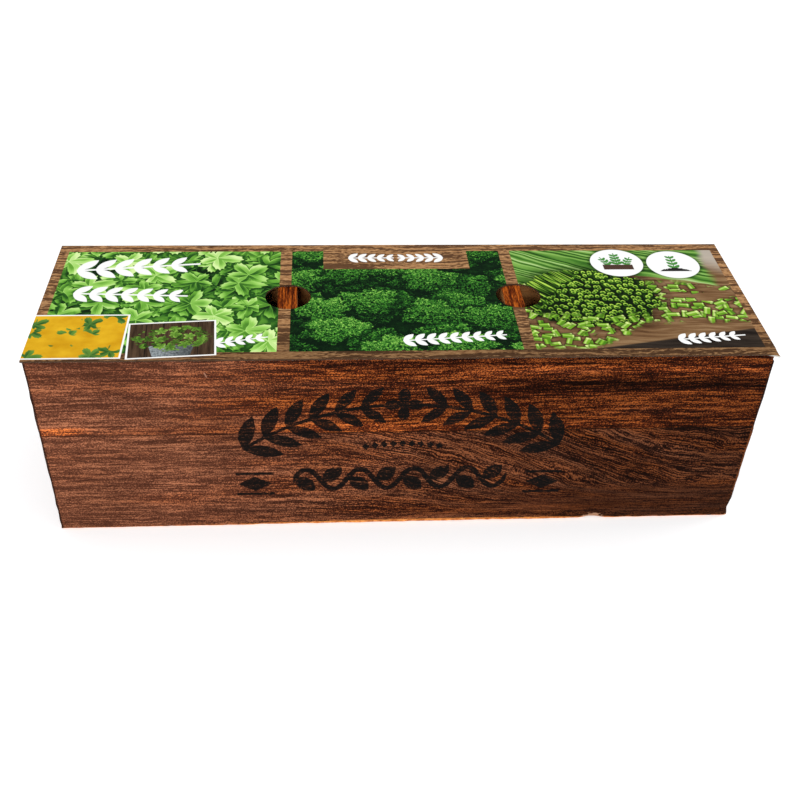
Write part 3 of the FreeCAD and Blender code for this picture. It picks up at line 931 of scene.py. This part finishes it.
# Boards, with arrises worn a little unevenly
AXES = ((1, 0, 0), (0, 1, 0), (0, 0, 1))
ARRIS_MARGIN = 0.0017
ARRIS = 0.00085
WEAR_SPACING = (0.0045, 0.0045, 0.0055)
ARRIS_WEAR = 0.00024
SEAM_WEAR = 0.00012
OUTER = Vector(millimetres(HALF_LENGTH, HALF_DEPTH, BOX_TOP))


def near_outside(point):
    """How many of the box's outer faces a point is at."""
    return ((abs(point.x) > OUTER.x - ARRIS) + (abs(point.y) > OUTER.y - ARRIS)
            + (point.z < ARRIS or point.z > OUTER.z - ARRIS))


def at_seam(point):
    outside = abs(point.x) > OUTER.x - ARRIS or abs(point.y) > OUTER.y - ARRIS
    return outside and abs(point.z - SEAM / 1000.0) < 0.0004


def worn_board(node, seed):
    low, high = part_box(node)
    board = edit_copy(node + "_worn", node)
    for axis, direction in enumerate(AXES):
        span = high[axis] - low[axis]
        if span < 0.02:
            continue
        count = round(span / WEAR_SPACING[axis])
        places = [low[axis] + ARRIS_MARGIN, high[axis] - ARRIS_MARGIN]
        for index in range(1, count):
            places.append(low[axis] + span * (index + random.uniform(-0.3, 0.3)) / count)
        cut_across(direction, places)
    pick(board, lambda point: near_outside(point) > 1)
    roughen(-ARRIS_WEAR, 1.0, seed)
    pick(board, at_seam)
    roughen(-SEAM_WEAR, 1.0, seed)
    if node == "front_upper_board":
        chip_top_corner(board)
    elif node == "front_lower_board":
        chip_foot(board)
    pick(board, lambda point: point.z < low[2])
    bpy.ops.transform.resize(value=(1.0, 1.0, 0.0), center_override=(0.0, 0.0, low[2]))
    smoothed(25)
    finish_piece(board, "box", "scorched_wood", node_finish(node))
    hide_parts(node)


def chip_top_corner(board):
    """The splintered corner under the card's bent corner."""
    for reach, drop in ((4.4, 0.5), (2.6, 0.9), (1.3, 1.2)):
        edge = OUTER.x + OUTER.y - reach / 1000.0
        nudge(board, lambda point: point.x - point.y > edge and point.z > OUTER.z - 0.0030,
              -drop * 0.5, drop * 0.2, -drop)


def chip_foot(board):
    """A flake missing from the foot, and a knocked right corner."""
    flake = FLAKE_MIDDLE / 1000.0
    front = ARRIS - OUTER.y
    nudge(board, lambda point: abs(point.x - flake) < 0.0050 and point.y < front and point.z < 0.003,
          0.0, 0.7, 0.5)
    nudge(board, lambda point: point.x > OUTER.x - 0.001 and point.y < front and point.z < 0.007,
          -0.9, 0.3, 0.0)


for number, node in enumerate(sorted(name for name in frame["nodes"] if name.endswith("_board"))):
    worn_board(node, number + 1)

# The card, cut along the middles of its printed strips so that each field of the print has its own material
CARD_CORNER = (CARD_HALF_LENGTH + CARD_HALF_DEPTH) / 1000.0


def printed_sheet():
    card = edit_copy("lid_card_print", "lid_card")
    strips = [(middle - CARD_HALF_LENGTH) / 1000.0 for middle in STRIP_MIDDLES]
    cut_across(AXES[0], strips)
    for reach in (5.2, 3.6, 2.2, 1.0):
        cut_across((1, -1, 0), [(CARD_CORNER - reach / 1000.0) / math.sqrt(2)])
    for reach, drop, push in ((3.7, 0.25, 0.0), (2.3, 0.35, 0.2), (1.1, 0.45, 0.3), (0.1, 0.25, 0.5)):
        nudge(card, lambda point: point.x - point.y > CARD_CORNER - reach / 1000.0, push, 0.0, -drop)
    smoothed(20)
    finish_piece(card, "lid", "printed_card", card_board, printed("left_print", left_print),
                 printed("middle_print", middle_print), printed("right_print", right_print))
    for face in card.data.polygons:
        printed_side = face.normal.z > 0.5
        face.material_index = 1 + sum(face.center.x > strip for strip in strips) if printed_side else 0
    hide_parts("lid_card")


printed_sheet()


# Liners, smoothed round their corners
def smooth_liner(cell):
    liner = edit_copy(cell + "_liner_smooth", cell + "_liner")
    smoothed(32)
    finish_piece(liner, "box", "clear_plastic", finishes["clear_plastic"])
    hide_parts(cell + "_liner")


for cell in CELLS:
    smooth_liner(cell)

# Pressed coir discs: a stack of rings drawn in to a dimple, roughened, with loose fibres on top
DISC_PROFILE = ((27.0, 0.3), (28.3, 1.6), (28.5, 4.5), (28.5, 8.2), (28.2, 11.0), (26.8, 12.4))
DISC_RINGS = ((2.4, 0.1), (2.6, 0.0), (2.6, 0.0), (2.4, -0.5), (2.6, -0.5), (3.0, 0.0), (3.4, 0.0),
              (3.6, 0.0))
FIBRES = 46


def loose_fibre():
    """One bent coir fibre, a few millimetres long, lying along X at the origin."""
    fibre = new_primitive(bpy.ops.mesh.primitive_cylinder_add, vertices=4, radius=0.00013, depth=0.010,
                          rotation=(0.0, math.pi / 2, 0.0))
    cut_across(AXES[0], millimetres(-3.4, -1.6, 0.2, 1.9, 3.5))
    for reach, side, lift in ((1.0, 0.2, 0.10), (2.5, 0.5, 0.15), (4.2, 0.9, -0.2)):
        nudge(fibre, lambda point: abs(point.x) > reach / 1000.0, 0.0, side, lift)
    bpy.ops.object.mode_set(mode="OBJECT")
    return fibre


def coir_disc():
    """One disc at the origin, standing on its base."""
    first, base = DISC_PROFILE[0]
    disc = new_primitive(bpy.ops.mesh.primitive_circle_add, vertices=80, radius=first / 1000.0,
                         fill_type="NGON", location=millimetres(0.0, 0.0, base))
    select_everything()
    for (inner, low), (outer, high) in zip(DISC_PROFILE, DISC_PROFILE[1:]):
        rise = millimetres(0.0, 0.0, high - low)
        bpy.ops.mesh.extrude_region_move(TRANSFORM_OT_translate={"value": rise})
        bpy.ops.transform.resize(value=(outer / inner, outer / inner, 1.0))
    inset_rings(DISC_RINGS)
    pick(disc, lambda point: point.z > 0.001)
    roughen(0.0004, 0.5, 11)
    bpy.ops.object.mode_set(mode="OBJECT")
    rounding = disc.modifiers.new("rounding", "SUBSURF")
    rounding.levels = 2
    rounding.render_levels = 2
    bpy.ops.object.modifier_apply(modifier="rounding")
    in_edit_mode(disc)
    select_everything()
    roughen(0.00014, 0.6, 12)
    bpy.ops.object.mode_set(mode="OBJECT")
    return disc


def copied(item, name, matrix):
    """A copy with its own mesh, moved within that mesh."""
    other = bpy.data.objects.new(name, item.data.copy())
    other.data.transform(matrix)
    bpy.context.scene.collection.objects.link(other)
    return other


def joined(items):
    bpy.ops.object.select_all(action="DESELECT")
    for item in items:
        item.select_set(True)
    bpy.context.view_layer.objects.active = items[0]
    bpy.ops.object.join()
    return items[0]


def cell_centre(index):
    return (index - 1) * CELL_PITCH


def coir_discs():
    pattern = coir_disc()
    fibre = loose_fibre()
    for index, cell in enumerate(CELLS):
        centre = Vector(millimetres(cell_centre(index), 0.0, DISC_BASE))
        place = Matrix.Translation(centre) @ Matrix.Rotation(math.radians(index * 77.0), 4, "Z")
        parts = [copied(pattern, cell + "_coir_disc_rough", place)]
        for _ in range(FIBRES):
            swing = random.uniform(0.0, TURN)
            out = 0.0235 * math.sqrt(random.uniform(0.02, 1.0))
            lift = 0.0123 if out > 0.0145 else 0.0116
            spot = centre + Vector((out * math.cos(swing), out * math.sin(swing), lift))
            turn = Matrix.Rotation(random.uniform(0.0, TURN), 4, "Z")
            turn = turn @ Matrix.Rotation(random.uniform(-0.1, 0.1), 4, "Y")
            size = Matrix.Scale(random.uniform(0.45, 1.0), 4)
            parts.append(copied(fibre, "fibre", Matrix.Translation(spot) @ turn @ size))
        disc = joined(parts)
        finish_piece(disc, "box", "pressed_coir", finishes["pressed_coir"])
        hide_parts(cell + "_coir_disc")
    bpy.data.objects.remove(pattern)
    bpy.data.objects.remove(fibre)


coir_discs()

# Seed sachets: a sealed margin round a low filled pillow
PILLOW_STEPS = ((0.9, 0.9), (1.5, 0.85), (2.6, 0.7), (3.6, 0.35), (4.5, 0.15))


def seed_sachet():
    """One sachet at the origin, lying flat with its length along X."""
    sachet = new_primitive(bpy.ops.mesh.primitive_plane_add, size=1.0)
    select_everything()
    length, width = 2 * SACHET_HALF_LENGTH - 0.4, 2 * SACHET_HALF_WIDTH - 0.4
    bpy.ops.transform.resize(value=millimetres(length, width, 1000.0))
    bpy.ops.transform.translate(value=millimetres(0.0, 0.0, 0.1))
    bpy.ops.mesh.extrude_region_move(TRANSFORM_OT_translate={"value": millimetres(0.0, 0.0, 0.4)})
    inset_rings(((SACHET_SEAL, 0.0), *PILLOW_STEPS))
    bpy.ops.mesh.subdivide(number_cuts=6)
    pick(sachet, lambda point: point.z > 0.0012)
    roughen(0.00025, 0.8, 5)
    bpy.ops.mesh.vertices_smooth(factor=0.5, repeat=3)
    smoothed(40)
    return sachet


def seed_sachets():
    pattern = seed_sachet()
    for index, cell in enumerate(CELLS):
        degrees = SACHET_TURNS[index]
        centre = Vector(millimetres(cell_centre(index), 0.0, SACHET_BASE))
        place = Matrix.Translation(centre) @ Matrix.Rotation(math.radians(degrees), 4, "Z")
        sachet = copied(pattern, cell + "_seed_sachet_paper", place)
        finish_piece(sachet, "box", "sachet_paper", sachet_paper(cell, cell_centre(index), degrees))
        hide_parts(cell + "_seed_sachet")
    bpy.data.objects.remove(pattern)


seed_sachets()

# Floor, light and background
FLOOR_LIFT = 0.27
LAMP_AIM = Vector((0.0, 0.0, 0.05))
LAMPS = (("key_light", (-0.23, -1.97, 1.16), 0.4, 16.0),
         ("side_light", (-0.85, -1.95, 1.35), 0.5, 16.0),
         ("fill_light", (1.4, 0.4, 1.7), 1.2, 10.0))


def floor():
    bpy.ops.mesh.primitive_plane_add(size=12.0, location=(0.0, 0.0, 0.0))
    plane = bpy.context.object
    plane.name = "floor"
    material, shader, (x, y, _) = new_material("floor_white")
    finish_shader(shader, (0.93, 0.93, 0.93), 0.9, 0.1)
    tree = material.node_tree
    camera_ray = work_out(tree, "LightPath", {}, "Is Camera Ray")
    glow = camera_ray * (smooth(hypotenuse(x, y), 450.0, 1300.0) + FLOOR_LIFT)
    feed(tree, shader.inputs["Emission Color"], (1.0, 1.0, 1.0))
    feed(tree, shader.inputs["Emission Strength"], glow)
    plane.data.materials.append(material)


def lamp(name, place, size, power):
    light = bpy.data.lights.new(name, "AREA")
    light.shape = "DISK"
    light.size = size
    light.energy = power
    item = bpy.data.objects.new(name, light)
    item.location = place
    item.rotation_mode = "QUATERNION"
    item.rotation_quaternion = (LAMP_AIM - Vector(place)).to_track_quat("-Z", "Y")
    bpy.context.scene.collection.objects.link(item)


def background():
    """Soft light from all round, which the camera sees as plain white."""
    world = bpy.data.worlds.new("studio")
    bpy.context.scene.world = world
    world.use_nodes = True
    tree = world.node_tree
    tree.nodes.clear()
    room = work_out(tree, "Background", {"Color": (0.97, 0.98, 1.0), "Strength": 0.66})
    seen = work_out(tree, "Background", {"Color": (1.0, 1.0, 1.0), "Strength": 1.0})
    camera_ray = work_out(tree, "LightPath", {}, "Is Camera Ray")
    add_node(tree, "OutputWorld", {"Surface": work_out(tree, "MixShader", {0: camera_ray, 1: room, 2: seen})})


floor()
background()
for settings in LAMPS:
    lamp(*settings)
